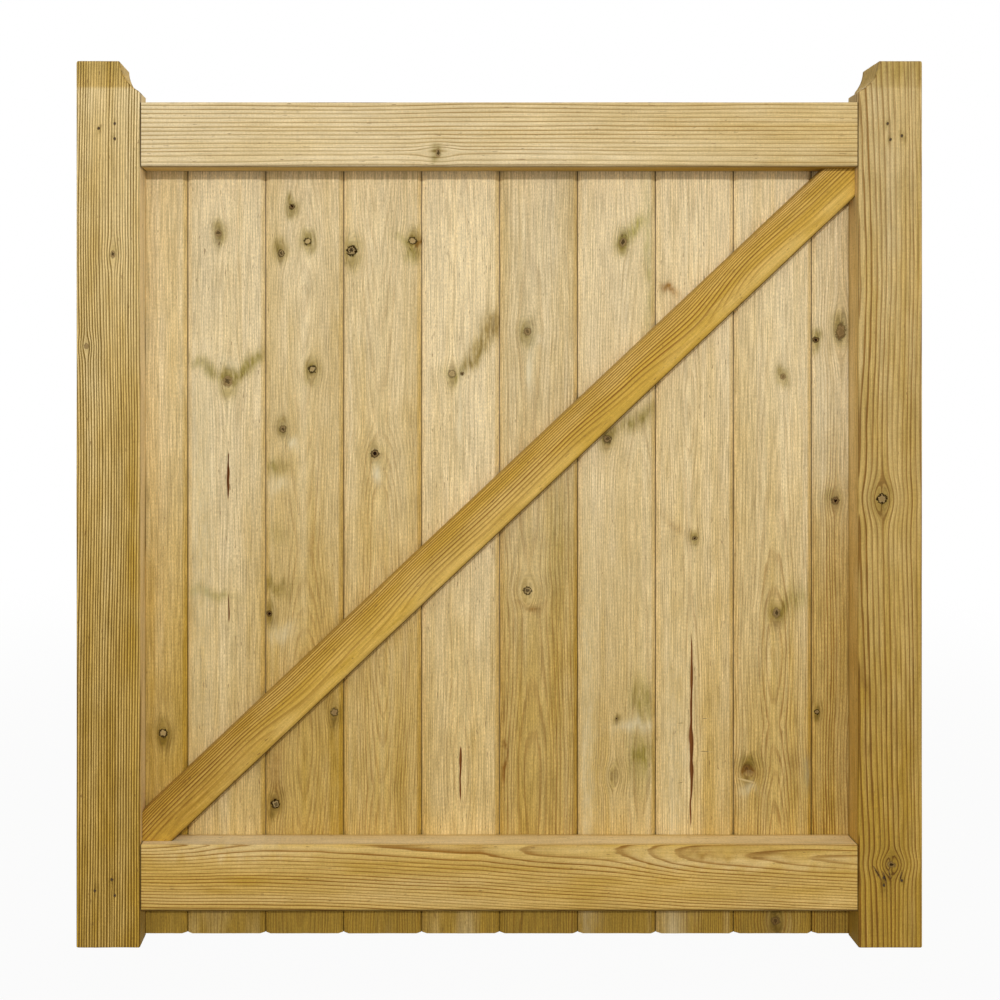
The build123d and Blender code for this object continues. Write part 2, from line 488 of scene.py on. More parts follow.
def ring_number(timber, across, depth, along):
    """Growth ring that each point lies in, counted from the pith, and how plain that ring is."""
    grain = timber.grain
    stations, depths = zip(*grain.pith_depth)
    drift = grain.wander * line_noise(along, 260.0, grain.seed + 11)
    drift += grain.lean * (along - along.mean()) / METRE
    sideways = across - grain.pith - drift
    behind = np.interp(along, stations, depths) + 2.5 * line_noise(along, 95.0, grain.seed + 12)
    radius = np.hypot(sideways, behind + depth - BOARD_FACE)
    points = np.stack([across, depth, along], axis=1)
    radius += 0.5 * grain.ring_width * own_noise(timber, points, 13, (16, 16, 150))
    ring = radius / grain.ring_width
    ring += 0.24 * line_noise(ring, 1.6, grain.seed + 14)
    strength = np.clip(grain.over_pith + 1.8 * np.abs(sideways) / radius, 0, 1)
    return ring, strength * (1 + 0.3 * line_noise(ring, 1.3, grain.seed + 15))


def stains_and_highlights(timber, x, height):
    """Olive, brown, pale and ripe tone at points of the face; a few of the pale patches are painted
    highlights.
    """
    tones = np.zeros((len(x), 4))
    places = np.column_stack([x, np.zeros_like(x), height])
    x = x + 3.0 * own_noise(timber, places, 41, (9, 9, 22))
    height = height + 6.0 * own_noise(timber, places, 42, (7, 7, 30))
    for patch in timber.patches:
        right, up = cos(radians(patch.turn)), sin(radians(patch.turn))
        lengthways = ((x - patch.x) * right + (height - patch.height) * up) / patch.length
        sideways = ((height - patch.height) * right - (x - patch.x) * up) / patch.width
        amount = np.exp(-(lengthways ** 2) - sideways ** 2)
        tones += amount[:, None] * np.array([patch.olive, patch.brown, patch.pale, patch.ripe])
    for knot in timber.knots:
        reach = 1.8 * knot.radius
        for side in (-1, 1):
            beyond = height - knot.height - side * 1.5 * knot.radius
            distance = np.hypot((x - knot.x) / reach, beyond / (reach * 1.25))
            amount = knot.halo * np.exp(-distance ** 2)
            tones += amount[:, None] * np.array([0.9, 0.5, 0, 0])
    return tones


def cove_share(timber, places):
    """1 on the cut face beside a horn, and 0 elsewhere."""
    x, depth, height = places.T
    outer = x if timber.horn_side > 0 else GATE_WIDTH - x
    near = np.clip(1.6 - (cove_limit(height) - outer), 0, 1)
    inward = np.clip(depth - FRONT - 0.8, 0, 1) * np.clip(BACK - depth - 0.8, 0, 1)
    return near * inward * (height > STILE_LENGTH - COVE_DROP) * (STILE_LENGTH - height > 0.5)


def section_range(timber, axis):
    """Lowest and highest place of a section: axis 0 is across the grain and 1 is depth."""
    values = [point[axis] for point in timber.section]
    return min(values), max(values)


def flank_share(timber, places):
    """1 on the sides of the frame's pieces that face the opening in front of the boards, and 0 elsewhere."""
    x, depth, height = places.T
    share = np.clip((depth - section_range(timber, 1)[0] - 1.0) / 0.6, 0, 1)
    opening = (x > OPENING[0] - 1.3) & (x < OPENING[1] + 1.3) & (height < TOP_RAIL[0] + 1.3)
    return share * opening * (depth < BOARD_FACE - 0.1) * (not timber.matched)


def tone(timber, places, local):
    """Ripeness, shade and strength of the ring lines at points of a piece, with painted light and shade on
    the cove, on the sides round the opening and below the bottom rail.
    """
    x, depth, height = places.T
    share = (local[:, 2] - timber.start) / (timber.end - timber.start)
    if timber.matched:      # a board's tone changes less near its ends than in its middle
        share = share - 0.11 * np.sin(2 * pi * share)
    ripe = timber.ripe[0] + (timber.ripe[1] - timber.ripe[0]) * share
    for amount, pattern, size in RIPE_CHANGES:
        ripe += amount * own_noise(timber, local, pattern, size)
    shade = timber.shade
    for amount, pattern, size in SHADE_CHANGES:
        shade = shade * (1 + amount * own_noise(timber, local, pattern, size))
    if timber.matched:      # its foot below the rail is painted darker and riper: painted shade under the rail
        foot = np.clip((BOTTOM_RAIL[0] + 8 - height) / 12, 0, 1) * (depth < (BOARD_FACE + BOARD_BACK) / 2)
        ripe += (0.34 + 0.25 * own_noise(timber, local, 37, (10, 10, 60))) * foot
        shade *= 1 - 0.24 * foot
    lines = timber.grain.lines[0] + (timber.grain.lines[1] - timber.grain.lines[0]) * share
    lines *= 1 + 0.3 * own_noise(timber, local, 36, (12, 12, 220))
    if timber.horn_side:    # the cove and the outer side are plainer, the cove is painted lighter, and the horn's top is riper and a little darker
        top_ripe, outer_plain = (0.38, 0.55) if timber.horn_side > 0 else (0.12, 0.2)
        cove = cove_share(timber, places)
        top = np.clip((height - HORN_TOP_TONE) / 3, 0, 1)
        outer_side = np.clip((0.8 - np.minimum(x, GATE_WIDTH - x)) / 0.6, 0, 1)
        ripe += 0.12 * cove + top_ripe * top
        # painted light: the cove's shade factor lightens it against the shade that falls on it
        shade *= (1 + 0.30 * cove) * (1 - 0.05 * top)
        lines *= (1 - 0.75 * cove) * (1 - outer_plain * outer_side)
    # The sides round the opening get their own ripeness and painted light and shade, and painted shade below
    # the bottom rail
    side = flank_share(timber, places)
    flank_shade_below_rail = side * np.clip((BOTTOM_RAIL[0] + 1 - height) / 3, 0, 1)
    ripe += timber.flank[0] * side + 0.30 * flank_shade_below_rail
    shade *= 1 + (timber.flank[1] - 1) * side - 0.30 * flank_shade_below_rail
    lines *= 1 - 0.85 * side
    return ripe, shade, lines


def vee_shade_and_dirt(timber, local):
    """Where two boards meet: painted shade with some dirt at the bottom of the V, riper on the side that
    faces right, and both slopes painted lighter against the shade that falls on them.
    """
    low, high = section_range(timber, 0)
    depth = np.minimum(local[:, 1] - BOARD_FACE, BOARD_BACK - local[:, 1])
    # painted shade, with some dirt, in the bottom of the V
    deep = np.clip((depth - VEE_DEPTH + 0.05) / 0.2, 0, 1)
    slope = np.clip(depth / 0.4, 0, 1) * (1 - deep)
    right = local[:, 0] > (low + high) / 2
    ripe = slope * np.where(right, 0.30, 0.03)
    # painted light: both slopes are made lighter, the one that faces left the more
    shade = 1 + slope * np.where(right, 0.10, 0.26)
    return 0.62 * deep, ripe, shade


def lower_edge(timber, local):
    """1 on the lower front edge of a rail or of the brace, where a painted shadow line goes."""
    below = np.clip((section_range(timber, 0)[0] + 1.7 - local[:, 0]) / 0.5, 0, 1)
    return below * np.clip((section_range(timber, 1)[0] + 2.6 - local[:, 1]) / 0.4, 0, 1)


# Meshes


def crack_path(crack, along):
    """How far a crack wanders sideways, its half width and its depth, at heights along the board."""
    wander = 0.9 * line_noise(along, 34.0, crack.seed + 3) + 0.35 * line_noise(along, 9.0, crack.seed + 4)
    ragged = 0.75 + 0.35 * line_noise(along, 12.0, crack.seed + 5)
    half = np.zeros(len(along))
    sunk = np.zeros(len(along))
    for low, high, width, depth in crack.runs:
        share = np.clip(1 - ((2 * along - low - high) / (high - low)) ** 2, 0, 1)
        half = np.maximum(half, width / 2 * np.sqrt(share) * ragged)
        sunk = np.maximum(sunk, depth * np.sqrt(share))
    return wander, half, sunk


def add_crack_columns(loop, cracks):
    """Puts extra points on the front of a section beside each crack, and says which they are."""
    marks = {}
    loop = list(loop)
    clear = 2.4
    for crack_number, crack in enumerate(cracks):
        loop = [p for p in loop if abs(p[1] - BOARD_FACE) >= ON_FACE or abs(p[0] - crack.x) >= clear]
        offsets = (-1.6, -1.0, -0.6, 0.0, 0.6, 1.0, 1.6)    # from its middle, in half widths
        before = max(i for i, p in enumerate(loop) if abs(p[1] - BOARD_FACE) < ON_FACE and p[0] < crack.x)
        rising = loop[(before + 1) % len(loop)][0] > crack.x
        if not rising:
            before -= 1
            offsets = offsets[::-1]
        new = [(crack.x + offset * 0.6, BOARD_FACE) for offset in offsets]
        loop[before + 1:before + 1] = new
        for point, offset in zip(new, offsets):
            marks[point] = (crack_number, offset)
    return loop, marks


def stations_of(timber):
    """Places along the grain where the section is repeated: close at the ends and at a horn."""
    ends = [0.0, 0.25, 0.6, 1.1, 2.0]
    places = list(np.arange(timber.start + 5, timber.end - 4, 4.0))
    places += [timber.start + value for value in ends] + [timber.end - value for value in ends]
    if timber.shoulders:
        first, last = timber.shoulders
        places += [first, first + 0.5, first + 0.9, last - 0.9, last - 0.5, last]
    if timber.horn_side:
        horn_start = STILE_LENGTH - COVE_DROP - 2
        places = [place for place in places if place < horn_start or place > timber.end - 3]
        places += list(np.arange(horn_start, timber.end - 3, 1.5))
    return np.array(sorted(set(np.round(places, 3))))


def cove_limit(height):
    """Width of the stile from its outer edge at heights beside the cove."""
    width = STILE_WIDTH - HORN_TOP_WIDTH
    radius = (width ** 2 + COVE_DROP ** 2) / (2 * width)
    below_top = np.clip(STILE_LENGTH - height, 0, COVE_DROP)
    return HORN_TOP_WIDTH + radius - np.sqrt(np.maximum(radius ** 2 - below_top ** 2, 0))


def round_over(distance, radius):
    """How far a surface falls away at a distance from an edge of that radius."""
    reach = np.clip(radius - distance, 0, radius)
    return radius - np.sqrt(np.maximum(radius ** 2 - reach ** 2, 0))


def shape_horn(timber, across, depth, along):
    """Cuts the cove beside the horn and rounds the edges that the cut leaves."""
    outer = across if timber.horn_side > 0 else GATE_WIDTH - across
    limit = np.where(along > STILE_LENGTH - COVE_DROP - 1e-6, cove_limit(along), STILE_WIDTH + 5)
    cut = np.minimum(outer, limit)
    fall = round_over(limit - cut, COVE_EDGE)
    front = depth < FRONT + ON_FACE
    back = depth > BACK - ON_FACE
    depth = np.where(front, depth + fall, np.where(back, depth - fall, depth))
    below_top = STILE_LENGTH - along
    cut = np.maximum(cut, round_over(below_top, HORN_CORNER))
    inner_corner = limit - round_over(below_top, HORN_INNER_CORNER)
    cut = np.where(limit < STILE_WIDTH, np.minimum(cut, inner_corner), cut)
    across = cut if timber.horn_side > 0 else GATE_WIDTH - cut
    return across, depth


def band(first, count):
    """The four-sided faces between one closed row of points and the next."""
    pairs = [(first + point, first + (point + 1) % count) for point in range(count)]
    return [(a, b, b + count, a + count) for a, b in pairs]


def block(section, start, end):
    """Vertices and faces of a plain length of a four-sided section."""
    vertices = [(across, depth, along) for along in (start, end) for across, depth in section]
    return np.array(vertices, float), [(3, 2, 1, 0), (4, 5, 6, 7), *band(0, 4)]


def rows_along(timber, ring, places):
    """The section's points repeated at each place, drawn in a little at the two ends."""
    middle = ring.mean(0)
    rows = []
    for place in places:
        end_distance = min(place - timber.start, timber.end - place)
        inset = round_over(np.array([end_distance]), timber.end_round)[0]
        towards = middle - ring
        row = ring + np.sign(towards) * np.minimum(inset, np.abs(towards) * 0.5)
        rows.append(np.column_stack([row, np.full(len(ring), place)]))
    return np.concatenate(rows)


def open_cracks(timber, loop, marks, places, vertices):
    """Moves the columns of points at the cracks, and says how much of a crack each vertex is."""
    opened = np.zeros(len(vertices))
    for column, point in enumerate(loop):
        if point not in marks:
            continue
        crack_number, offset = marks[point]
        crack = timber.cracks[crack_number]
        wander, half, sunk = crack_path(crack, places)
        column_rows = np.arange(len(places)) * len(loop) + column
        spread = offset * half + 0.12 * np.sign(offset)
        vertices[column_rows, 0] = crack.x + wander + spread * (1 if abs(offset) <= 1 else 1.3)
        inside_crack = abs(offset) < 0.7
        vertices[column_rows, 1] += sunk * (inside_crack * (1.0 - 0.3 * abs(offset)))
        opened[column_rows] = np.clip(half / 0.25, 0, 1) * (abs(offset) < 1.2)
    return opened


def swept(timber):
    """Vertices as (across, depth, along) and faces of a piece swept along its grain."""
    loop = subdivided(timber.section, board_steps(timber.section))
    loop, marks = add_crack_columns(loop, timber.cracks)
    inner, triangles = cap_faces(loop, timber.end_round + 1.2)
    places = stations_of(timber)
    count = len(loop)
    vertices = rows_along(timber, np.array(loop), places)
    opened = open_cracks(timber, loop, marks, places, vertices)
    faces = []
    for row in range(len(places) - 1):
        faces += band(row * count, count)
    for end, row in ((0, 0), (1, len(places) - 1)):
        first_inner = len(vertices)
        vertices = np.concatenate([vertices, np.column_stack([inner, np.full(len(inner), places[row])])])
        for triangle in triangles:
            numbers = [row * count + n if n < count else first_inner + n - count for n in triangle]
            faces.append(tuple(numbers if end else reversed(numbers)))
    if timber.horn_side:
        vertices[:, 0], vertices[:, 1] = shape_horn(timber, *vertices.T)
    if timber.shoulders:
        front = vertices[:, 1] < BOARD_FACE + ON_FACE
        vertices[front, 2] = np.clip(vertices[front, 2], *timber.shoulders)
    for section, start, end in timber.tenons:
        more, more_faces = block(section, start, end)
        faces += [tuple(number + len(vertices) for number in face) for face in more_faces]
        vertices = np.concatenate([vertices, more])
    opened = np.concatenate([opened, np.zeros(len(vertices) - len(opened))])
    return vertices, faces, opened


def to_gate(timber, vertices):
    """x, depth and height, from places across and along the grain."""
    (ax, ah), (lx, lh) = timber.axes
    mx, mh = timber.middle
    x = mx + vertices[:, 0] * ax + vertices[:, 2] * lx
    height = mh + vertices[:, 0] * ah + vertices[:, 2] * lh
    return np.column_stack([x, vertices[:, 1], height])


def gate_to_row(places):
    """Row-frame metres from x, depth and height."""
    return (places + np.array([0, 0, FOOT])) / METRE


def relief(timber, places, local):
    """How far the planed surface lies below true, from waviness and ridges, and less round the knots."""
    waves = 0.10 * (1 + own_noise(timber, local, 21, (22, 22, 120)))
    fine = 0.05 * (1 + own_noise(timber, local, 22, (4, 6, 30)))
    depth = waves + fine
    for knot in timber.knots:
        distance = np.hypot(places[:, 0] - knot.x, places[:, 2] - knot.height) / knot.radius
        depth -= 0.12 * np.exp(-(distance / 1.5) ** 2)
    return np.clip(depth, 0, None)


def store(mesh, name, values):
    """Stores one number, or one vector, for each vertex."""
    values = np.ascontiguousarray(values, np.float32)
    kind, field_name = ("FLOAT", "value") if values.ndim == 1 else ("FLOAT_VECTOR", "vector")
    made = mesh.attributes.new(name, kind, "POINT")
    made.data.foreach_set(field_name, values.ravel())


def fill(shape, places, faces):
    """Adds vertices at places on the gate, and faces between them, to a bmesh; returns the vertices."""
    made = [shape.verts.new(place) for place in gate_to_row(places)]
    for face in faces:
        shape.faces.new([made[number] for number in face])
    return made


def as_mesh(shape, name):
    """A mesh from a bmesh, which is let go."""
    mesh = bpy.data.meshes.new(name)
    shape.to_mesh(mesh)
    shape.free()
    return mesh


def linked(name, data):
    """A new object in the scene."""
    made = bpy.data.objects.new(name, data)
    bpy.context.scene.collection.objects.link(made)
    return made


def finished(mesh, sharp_angle, material):
    """An object of the leaf, smooth except at edges sharper than the angle in degrees."""
    mesh.polygons.foreach_set("use_smooth", np.ones(len(mesh.polygons), bool))
    mesh.set_sharp_from_angle(angle=radians(sharp_angle))
    mesh.materials.append(material)
    result = linked(mesh.name, mesh)
    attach(result, "root")
    return result


def trimmed(shape, timber):
    """Cuts a piece's mesh off at the planes that its cuts name, and cleans it."""
    for x, height, (right, up) in timber.cuts:
        point = gate_to_row(np.array([x, 0.0, height]))
        everything = shape.verts[:] + shape.edges[:] + shape.faces[:]
        bmesh.ops.bisect_plane(
            shape, geom=everything, plane_co=point, plane_no=(right, 0, up), clear_outer=True,
        )
        bmesh.ops.holes_fill(shape, edges=[edge for edge in shape.edges if edge.is_boundary])
    bmesh.ops.remove_doubles(shape, verts=shape.verts[:], dist=2e-6)
    bmesh.ops.dissolve_degenerate(shape, edges=shape.edges[:], dist=1e-6)
    bmesh.ops.recalc_face_normals(shape, faces=shape.faces[:])


def wear(mesh, timber):
    """Sinks the surface by its relief, and returns the vertices' places on the gate and in the piece."""
    flat = np.empty(len(mesh.vertices) * 3, np.float32)
    mesh.vertices.foreach_get("co", flat)
    row_places = flat.reshape(-1, 3).astype(float)
    mesh.vertex_normals.foreach_get("vector", flat)
    normals = flat.reshape(-1, 3).astype(float)
    places = row_places * METRE - np.array([0, 0, FOOT])
    across, along = local_place(timber, places[:, 0], places[:, 2])
    local = np.column_stack([across, places[:, 1], along])
    row_places -= normals * (relief(timber, places, local) / METRE)[:, None]
    row_places = np.clip(row_places, *np.array(cad_box, float))
    mesh.vertices.foreach_set("co", row_places.astype(np.float32).ravel())
    return places, local


def shoulder_shadow(timber, local):
    """1 where the front of a tenoned piece meets its neighbours, and 0 elsewhere."""
    first, last = timber.shoulders or (timber.start, timber.end)
    past = np.maximum(first + 0.9 - local[:, 2], local[:, 2] - last + 0.9)
    return np.where(local[:, 1] < BOARD_FACE + 0.1, np.clip(past / 0.4, 0, 1), 0)


def store_looks(mesh, timber, places, local):
    """Stores the numbers that the piece's material reads."""
    swung = swung_across(timber, local[:, 0], local[:, 2])
    following = np.column_stack([swung, local[:, 1], local[:, 2]])
    marks = stains_and_highlights(timber, places[:, 0], places[:, 2])
    ripe, shade, lines = tone(timber, places, following)
    # painted shadow at the shoulders, lower edges and V joints, with some dirt in the V joints
    joint_shadow_and_dirt = np.zeros(len(local))
    if timber.matched:
        joint_shadow_and_dirt, joint_ripe, slope_painted_light = vee_shade_and_dirt(timber, local)
        ripe += joint_ripe
        shade *= slope_painted_light
    if timber.tenons:
        joint_shadow_and_dirt = shoulder_shadow(timber, local)
    # a painted shadow line along the lower front edge
    joint_shadow_and_dirt = np.maximum(joint_shadow_and_dirt, timber.under_edge * lower_edge(timber, local))
    ring, strength = ring_number(timber, swung, local[:, 1], local[:, 2])
    store(mesh, "ring", ring)
    store(mesh, "joint_shadow_and_dirt", joint_shadow_and_dirt)
    store(mesh, "grain", following / METRE)
    store(mesh, "stain_and_highlight", marks[:, :3])
    store(mesh, "tone", np.column_stack([ripe + marks[:, 3], shade, lines * strength]))


def timber_object(timber):
    """Makes the mesh of a piece, with the numbers that its material reads."""
    vertices, faces, opened = swept(timber)
    shape = bmesh.new()
    crack_layer = shape.verts.layers.float.new("crack")
    for vertex, amount in zip(fill(shape, to_gate(timber, vertices), faces), opened):
        vertex[crack_layer] = amount
    trimmed(shape, timber)
    mesh = as_mesh(shape, timber.node + "_timber")
    places, local = wear(mesh, timber)
    store_looks(mesh, timber, places, local)
    result = finished(mesh, SHARP_ANGLE, timber_material(timber))
    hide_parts(timber.node)


# Materials


class Graph:
    """The nodes of one material, or of the world, under short names."""

    def __init__(self, owner):
        owner.use_nodes = True
        self.owner = owner
        self.tree = owner.node_tree
        self.tree.nodes.clear()

    def feed(self, socket, value):
        """Links a socket to another node's output, or gives it a fixed number, colour or vector."""
        if isinstance(value, bpy.types.NodeSocket):
            self.tree.links.new(value, socket)
        else:
            socket.default_value = (*value, 1) if socket.type == "RGBA" else value

    def add(self, kind, inputs=(), **settings):
        """A new node. Its inputs come in their order, or by their name or number from a dictionary."""
        node = self.tree.nodes.new(kind)
        for name, value in settings.items():
            setattr(node, name, value)
        named = inputs if isinstance(inputs, dict) else dict(enumerate(inputs))
        for key, value in named.items():
            self.feed(node.inputs[key], value)
        return node

    def math(self, operation, *values, clamp=False):
        return self.add("ShaderNodeMath", values, operation=operation, use_clamp=clamp).outputs[0]

    def times(self, first, second, clamp=False):
        """Two numbers multiplied."""
        return self.math("MULTIPLY", first, second, clamp=clamp)

    def most(self, first, second):
        """The larger of two numbers."""
        return self.math("MAXIMUM", first, second)

    def vector(self, operation, *values, output="Vector"):
        return self.add("ShaderNodeVectorMath", values, operation=operation).outputs[output]

    def attribute(self, name, output="Vector"):
        return self.add("ShaderNodeAttribute", attribute_name=name).outputs[output]

    def object_place(self):
        """Each spot's place in its object's own frame, in metres."""
        return self.add("ShaderNodeTexCoord").outputs["Object"]

    def rays(self, *kinds):
        """1 for rays of the kinds named, and 0 for others."""
        found = self.add("ShaderNodeLightPath").outputs
        result = found[kinds[0]]
        for kind in kinds[1:]:
            result = self.most(result, found[kind])
        return result

    def noise(self, place, feature, detail=0.0):
        """Noise from 0 to 1 whose features are as wide as the millimetres given along each axis."""
        scaled = self.vector("MULTIPLY", place, tuple(METRE / size for size in feature))
        inputs = {"Vector": scaled, "Scale": 1.0, "Detail": detail}
        return self.add("ShaderNodeTexNoise", inputs).outputs["Fac"]

    def spread(self, value, low, high, to_low=0.0, to_high=1.0, line="LINEAR"):
        """A number that goes from to_low to to_high while the value goes from low to high."""
        inputs = {"Value": value, "From Min": low, "From Max": high, "To Min": to_low, "To Max": to_high}
        return self.add("ShaderNodeMapRange", inputs, interpolation_type=line).outputs["Result"]

    def about(self, noise, contrast, middle=0.0):
        """Noise spread evenly about a middle."""
        return self.spread(noise, 0.25, 0.75, middle - contrast, middle + contrast)

    def ramp(self, value, stops):
        """A colour read from a list of (position, colour) stops."""
        node = self.add("ShaderNodeValToRGB", [value])
        elements = node.color_ramp.elements
        while len(elements) < len(stops):
            elements.new(0.5)
        for element, (position, colour) in zip(elements, stops):
            element.position = position
            element.color = (*colour, 1)
        return node.outputs["Color"]

    def mix(self, factor, first, second, blend="MIX"):
        """The second colour laid over the first, or multiplied with it, as far as the factor says."""
        inputs = {"Factor": factor, 6: first, 7: second}
        return self.add("ShaderNodeMix", inputs, data_type="RGBA", blend_type=blend).outputs[2]

    def end(self, shader, kind="ShaderNodeOutputMaterial"):
        """Ends the graph with a shader, and returns what it was made for."""
        self.add(kind, {"Surface": shader.outputs[0]})
        return self.owner

    def surface(self, inputs, height, rise):
        """Ends a material with a shader, embossed by a height map whose rise is in metres."""
        bump = self.add("ShaderNodeBump", {"Strength": 0.4, "Distance": rise, "Height": height})
        return self.end(self.add("ShaderNodeBsdfPrincipled", {**inputs, "Normal": bump.outputs[0]}))


def knot_eyes(graph, timber, place):
    """How much each spot is a knot, and how dark its middle, its outline and its wood are."""
    wobble = graph.about(graph.noise(place, (2.0, 2.0, 2.0), 1.0), 0.26)
    eye, core, rim, body = 0.0, 0.0, 0.0, 0.0
    for knot in timber.knots:
        across = knot.radius / METRE
        shape = {
            "Vector": place,
            "Location": (knot.x / METRE, 0, (knot.height + FOOT) / METRE),
            "Rotation": (0, radians(knot.tilt), 0),
            "Scale": (across, METRE, across * knot.longer),
        }
        in_knot = graph.add("ShaderNodeMapping", shape, vector_type="TEXTURE").outputs[0]
        distance = graph.math("ADD", graph.vector("LENGTH", in_knot, output="Value"), wobble)
        off_rim = graph.math("ABSOLUTE", graph.math("SUBTRACT", distance, RIM_PLACE))
        outline = graph.math("MINIMUM", graph.math("MULTIPLY_ADD", off_rim, -RIM_FADE, RIM_STRENGTH), 1.0)
        filled = graph.spread(distance, *WOOD_FADE)
        core = graph.most(graph.spread(distance, *CORE_FADE, 0.0, knot.core), core)
        rim = graph.most(graph.times(outline, knot.rim), rim)
        eye = graph.most(graph.times(filled, knot.fill), eye)
        body = graph.most(graph.times(filled, knot.body), body)
    return eye, core, rim, body


def timber_material(timber):
    """Planed, pressure-treated softwood, from the ring numbers, tones and staining of the mesh, which carry
    painted light, shade and highlights.
    """
    graph = Graph(bpy.data.materials.new(timber.node + "_timber"))
    ring, crack, joint_shadow_and_dirt = [graph.attribute(name, "Fac") for name in ("ring", "crack", "joint_shadow_and_dirt")]
    olive, brown, pale = graph.add("ShaderNodeSeparateXYZ", [graph.attribute("stain_and_highlight")]).outputs
    ripe, shade, lines = graph.add("ShaderNodeSeparateXYZ", [graph.attribute("tone")]).outputs
    own = timber.grain.seed * 0.37
    grain = graph.vector("ADD", graph.attribute("grain"), (own, own * 2, own * 3))

    # Fibres, short pores, the planer's faint cross ripple and specks
    fibre = graph.noise(grain, (1.1, 1.1, 30), 1.0)
    long_contrast, short_contrast = timber.fibre
    light = graph.spread(fibre, 0.30, 0.70, 1 - long_contrast, 1 + long_contrast)
    finer = (((1.0, 1.0, 3.0), short_contrast), ((9, 9, 1.7), 0.03), ((0.9, 0.9, 0.9), 0.06))
    for feature, contrast in finer:
        light = graph.times(light, graph.about(graph.noise(grain, feature), contrast, 1.0))
    light = graph.times(light, shade)

    # Base tone from cream to ochre, streaked along the grain
    tones = [(0.0, CREAM), (0.33, STRAW), (0.66, HONEY), (1.0, OCHRE)]
    colour = graph.ramp(graph.math("ADD", ripe, graph.about(fibre, -0.06)), tones)

    # Growth rings: pale early wood that darkens slowly, then stops short
    fray = timber.grain.fray
    ragged = graph.spread(graph.noise(grain, (2.2, 2.2, 45)), 0, 1, -fray, fray)
    phase = graph.math("FRACT", graph.math("ADD", ring, ragged))
    start = timber.late_start
    stops = [(0.0, 0.0), (start - 0.25, 0.03), (start, 0.35), (start + 0.14, 1.0), (0.93, 1.0), (1.0, 0.0)]
    late = graph.ramp(phase, [(position, (height, height, height)) for position, height in stops])
    late = graph.times(late, lines, clamp=True)
    colour = graph.mix(late, colour, timber.late_colour, "MULTIPLY")
    colour = graph.mix(1.0, colour, light, "MULTIPLY")

    # Resin ticks
    tick = graph.spread(graph.noise(grain, (1.2, 1.2, 8.0)), 0.80, 0.84, 0.0, 0.6)
    colour = graph.mix(tick, colour, RESIN)

    # Stains round knots and in the treated sapwood, and a few painted highlights laid on in pale
    patchy = graph.about(graph.noise(grain, (3.5, 3.5, 14), 2.0), 0.55, 1.0)
    layers = ((olive, OLIVE, "MULTIPLY"), (brown, BROWN, "MULTIPLY"), (pale, PALE_AND_HIGHLIGHT, "MIX"))
    for stain_and_highlight, stain_colour, blend in layers:
        colour = graph.mix(graph.times(stain_and_highlight, patchy, clamp=True), colour, stain_colour, blend)

    dull = graph.most(crack, joint_shadow_and_dirt)
    if timber.knots:
        eye, core, rim, body = knot_eyes(graph, timber, graph.object_place())
        colour = graph.mix(eye, colour, graph.mix(body, KNOT_PALE_AND_HIGHLIGHT, KNOT_BROWN))
        colour = graph.mix(core, colour, KNOT_CORE)
        colour = graph.mix(rim, colour, KNOT_RIM)
        dull = graph.most(dull, graph.most(core, rim))

    # Cracks show the red-brown heartwood, and the joints and lower front edges get painted shadow, with some
    # dirt in the V joints
    colour = graph.mix(crack, colour, HEARTWOOD)
    colour = graph.mix(graph.times(joint_shadow_and_dirt, 0.93), colour, JOINT_SHADOW_AND_DIRT)

    # End grain is darker where it drank the treatment
    right, up = timber.axes[1]
    normal = graph.add("ShaderNodeNewGeometry").outputs["Normal"]
    facing = graph.math("ABSOLUTE", graph.vector("DOT_PRODUCT", normal, (right, 0, up), output="Value"))
    colour = graph.mix(graph.spread(facing, 0.75, 0.95, 0.0, 0.8), colour, END_GRAIN, "MULTIPLY")

    inputs = {
        "Base Color": colour,
        "Roughness": graph.math("MULTIPLY_ADD", late, -0.08, graph.spread(fibre, 0.2, 0.8, 0.62, 0.78)),
        "Specular IOR Level": graph.spread(dull, 0, 1, 0.22, 0.02),
    }
    return graph.surface(inputs, graph.math("MULTIPLY_ADD", late, 0.5, graph.times(fibre, 0.55)), 0.0006)


# The pieces of timber, with what the photograph shows on each


def pin_holes(side):
    """The dark spot round each pin of one stile."""
    return [
        Knot(x, height, 1.35, 1.3, core=0.95, rim=0.7, body=0.9, flow=0.3, halo=0.35)
        for x, height in TENON_PINS if (x < GATE_WIDTH / 2) == (side > 0)
    ]


def stile(node, side, knots, **looks):
    """An upright: side is 1 for the hinge stile and -1 for the latch stile."""
    return Timber(
        node, "stile_timber", stile_section(side), 0.0, STILE_LENGTH, horn_side=side, end_round=1.6,
        knots=knots + pin_holes(side), **looks,
    )


